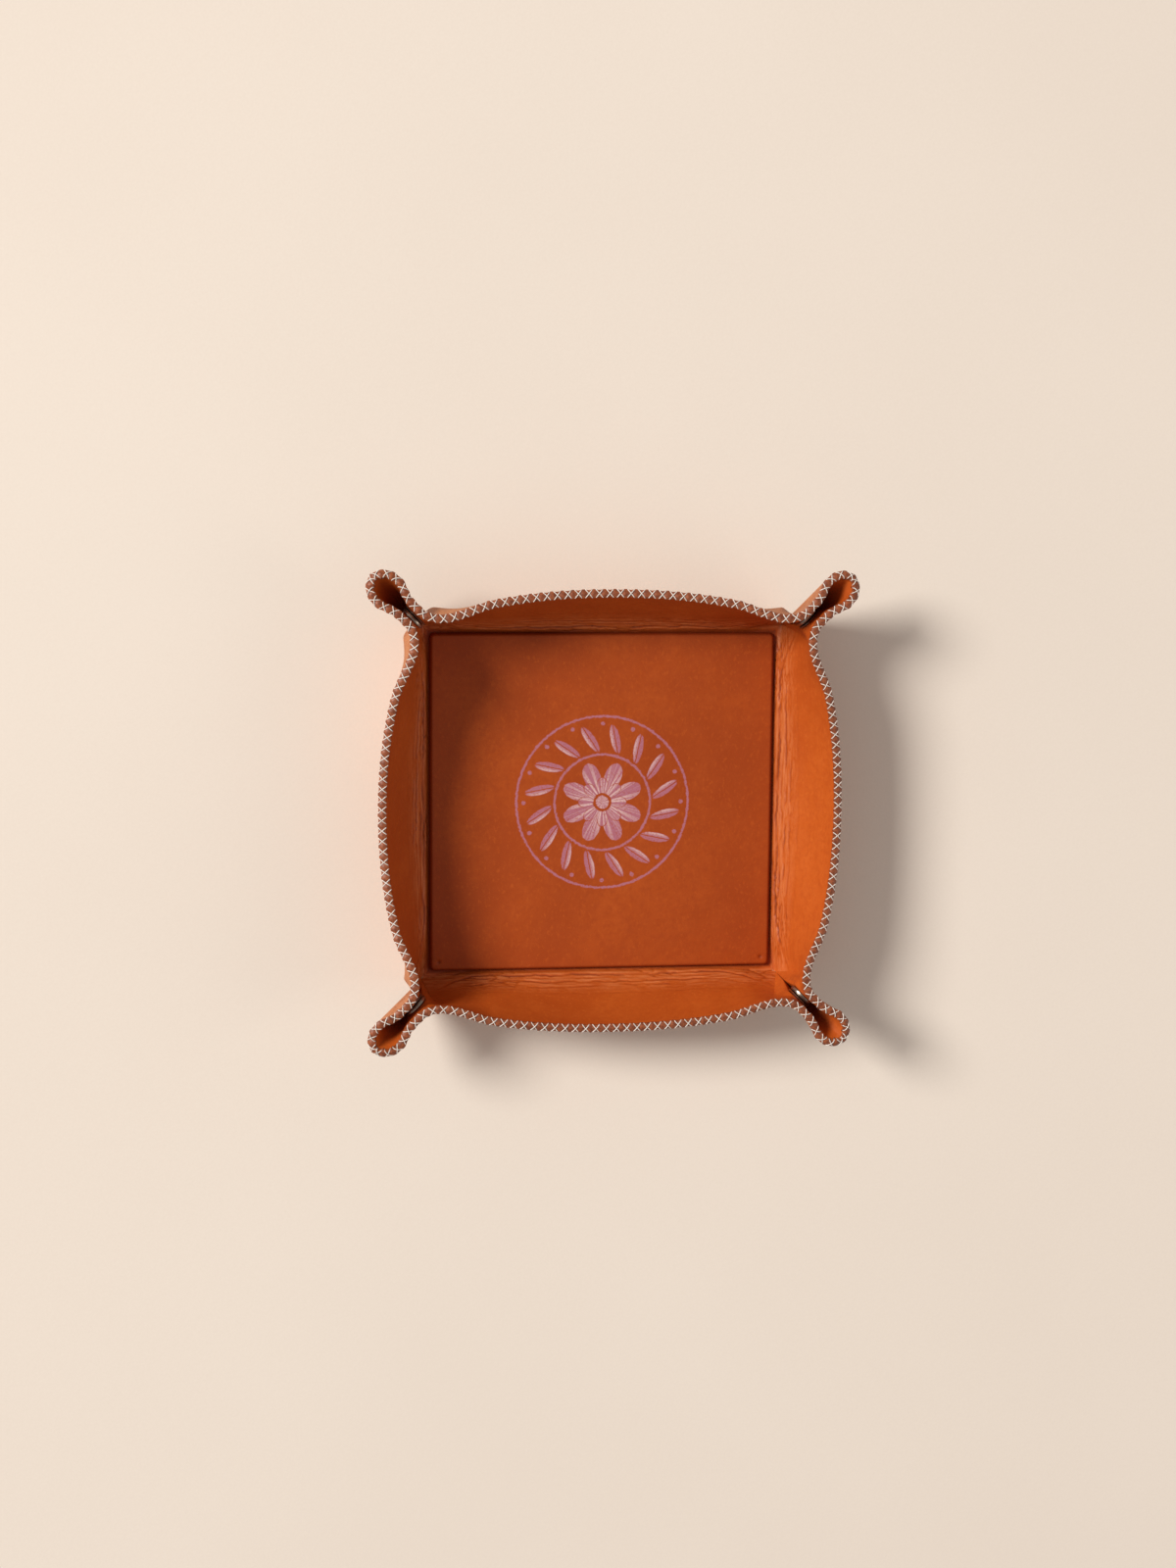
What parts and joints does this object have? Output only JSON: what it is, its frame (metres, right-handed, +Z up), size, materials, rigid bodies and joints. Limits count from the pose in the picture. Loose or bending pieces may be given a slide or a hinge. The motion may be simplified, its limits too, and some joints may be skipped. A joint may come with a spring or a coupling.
{
  "type": "valet tray",
  "caption": "Square leather valet tray: a stitched leather sheet with a stiff base, its corners pinched into loops by press snaps so that the edges stand up as walls.",
  "frame": {"origin": "middle of the underside of the base, on the table", "axes": "+Z up out of the open tray, +X along the slightly longer side, +Y to the back wall"},
  "size_m": [0.2178, 0.2148, 0.0463],
  "materials": {
    "lining": "smooth grain leather, waxed, warm tan",
    "backing": "grain leather, duller and paler tan",
    "thread": "thick waxed pale thread",
    "board": "plain grey-brown fibre board",
    "snap": "dark antique plating, rubbed bright on the edges"
  },
  "bodies": {
    "base": {"base_backing": "backing", "base_board": "board", "base_lining": "lining"},
    "wall_front": {"wall_backing_front": "backing", "wall_lining_front": "lining", "wall_stitching_front": "thread"},
    "ear_front_to_right": {"ear_backing_front_to_right": "backing", "ear_lining_front_to_right": "lining", "ear_stitching_front_to_right": "thread", "snap_stud_front_right": "snap", "snap_post_front_right": "snap"},
    "ear_front_to_left": {"ear_backing_front_to_left": "backing", "ear_lining_front_to_left": "lining", "ear_stitching_front_to_left": "thread", "snap_socket_left_front": "snap", "snap_cap_left_front": "snap"},
    "wall_right": {"wall_backing_right": "backing", "wall_lining_right": "lining", "wall_stitching_right": "thread"},
    "ear_right_to_back": {"ear_backing_right_to_back": "backing", "ear_lining_right_to_back": "lining", "ear_stitching_right_to_back": "thread", "snap_stud_right_back": "snap", "snap_post_right_back": "snap"},
    "ear_right_to_front": {"ear_backing_right_to_front": "backing", "ear_lining_right_to_front": "lining", "ear_stitching_right_to_front": "thread", "snap_socket_front_right": "snap", "snap_cap_front_right": "snap"},
    "wall_back": {"wall_backing_back": "backing", "wall_lining_back": "lining", "wall_stitching_back": "thread"},
    "ear_back_to_left": {"ear_backing_back_to_left": "backing", "ear_lining_back_to_left": "lining", "ear_stitching_back_to_left": "thread", "snap_stud_back_left": "snap", "snap_post_back_left": "snap"},
    "ear_back_to_right": {"ear_backing_back_to_right": "backing", "ear_lining_back_to_right": "lining", "ear_stitching_back_to_right": "thread", "snap_socket_right_back": "snap", "snap_cap_right_back": "snap"},
    "wall_left": {"wall_backing_left": "backing", "wall_lining_left": "lining", "wall_stitching_left": "thread"},
    "ear_left_to_front": {"ear_backing_left_to_front": "backing", "ear_lining_left_to_front": "lining", "ear_stitching_left_to_front": "thread", "snap_stud_left_front": "snap", "snap_post_left_front": "snap"},
    "ear_left_to_back": {"ear_backing_left_to_back": "backing", "ear_lining_left_to_back": "lining", "ear_stitching_left_to_back": "thread", "snap_socket_back_left": "snap", "snap_cap_back_left": "snap"}
  },
  "joints": [
    {"name": "fold_front", "type": "hinge", "parent": "base", "child": "wall_front", "pos_m": [0, -0.0808, 0], "axis": [1, 0, 0], "range_deg": [0, 40]},
    {"name": "crease_front_to_right", "type": "hinge", "parent": "wall_front", "child": "ear_front_to_right", "pos_m": [0.0823, -0.0808, 0], "axis": [0, -0.0629, 0.998], "range_deg": [0, 35]},
    {"name": "crease_front_to_left", "type": "hinge", "parent": "wall_front", "child": "ear_front_to_left", "pos_m": [-0.0823, -0.0808, 0], "axis": [0, 0.0629, -0.998], "range_deg": [0, 35]},
    {"name": "fold_right", "type": "hinge", "parent": "base", "child": "wall_right", "pos_m": [0.0823, 0, 0], "axis": [0, 1, 0], "range_deg": [0, 40]},
    {"name": "crease_right_to_back", "type": "hinge", "parent": "wall_right", "child": "ear_right_to_back", "pos_m": [0.0823, 0.0808, 0], "axis": [0.0629, 0, 0.998], "range_deg": [0, 35]},
    {"name": "crease_right_to_front", "type": "hinge", "parent": "wall_right", "child": "ear_right_to_front", "pos_m": [0.0823, -0.0808, 0], "axis": [-0.0629, 0, -0.998], "range_deg": [0, 35]},
    {"name": "fold_back", "type": "hinge", "parent": "base", "child": "wall_back", "pos_m": [0, 0.0808, 0], "axis": [-1, 0, 0], "range_deg": [0, 40]},
    {"name": "crease_back_to_left", "type": "hinge", "parent": "wall_back", "child": "ear_back_to_left", "pos_m": [-0.0823, 0.0808, 0], "axis": [0, 0.0629, 0.998], "range_deg": [0, 35]},
    {"name": "crease_back_to_right", "type": "hinge", "parent": "wall_back", "child": "ear_back_to_right", "pos_m": [0.0823, 0.0808, 0], "axis": [0, -0.0629, -0.998], "range_deg": [0, 35]},
    {"name": "fold_left", "type": "hinge", "parent": "base", "child": "wall_left", "pos_m": [-0.0823, 0, 0], "axis": [0, -1, 0], "range_deg": [0, 40]},
    {"name": "crease_left_to_front", "type": "hinge", "parent": "wall_left", "child": "ear_left_to_front", "pos_m": [-0.0823, -0.0808, 0], "axis": [-0.0629, 0, 0.998], "range_deg": [0, 35]},
    {"name": "crease_left_to_back", "type": "hinge", "parent": "wall_left", "child": "ear_left_to_back", "pos_m": [-0.0823, 0.0808, 0], "axis": [0.0629, 0, -0.998], "range_deg": [0, 35]}
  ],
  "couplings": [
    {"joint": "crease_front_to_right", "follows": "fold_front", "ratio": 0.87},
    {"joint": "crease_front_to_left", "follows": "fold_front", "ratio": 0.87},
    {"joint": "fold_right", "follows": "fold_front", "ratio": 1},
    {"joint": "crease_right_to_back", "follows": "fold_front", "ratio": 0.87},
    {"joint": "crease_right_to_front", "follows": "fold_front", "ratio": 0.87},
    {"joint": "fold_back", "follows": "fold_front", "ratio": 1},
    {"joint": "crease_back_to_left", "follows": "fold_front", "ratio": 0.87},
    {"joint": "crease_back_to_right", "follows": "fold_front", "ratio": 0.87},
    {"joint": "fold_left", "follows": "fold_front", "ratio": 1},
    {"joint": "crease_left_to_front", "follows": "fold_front", "ratio": 0.87},
    {"joint": "crease_left_to_back", "follows": "fold_front", "ratio": 0.87}
  ]
}
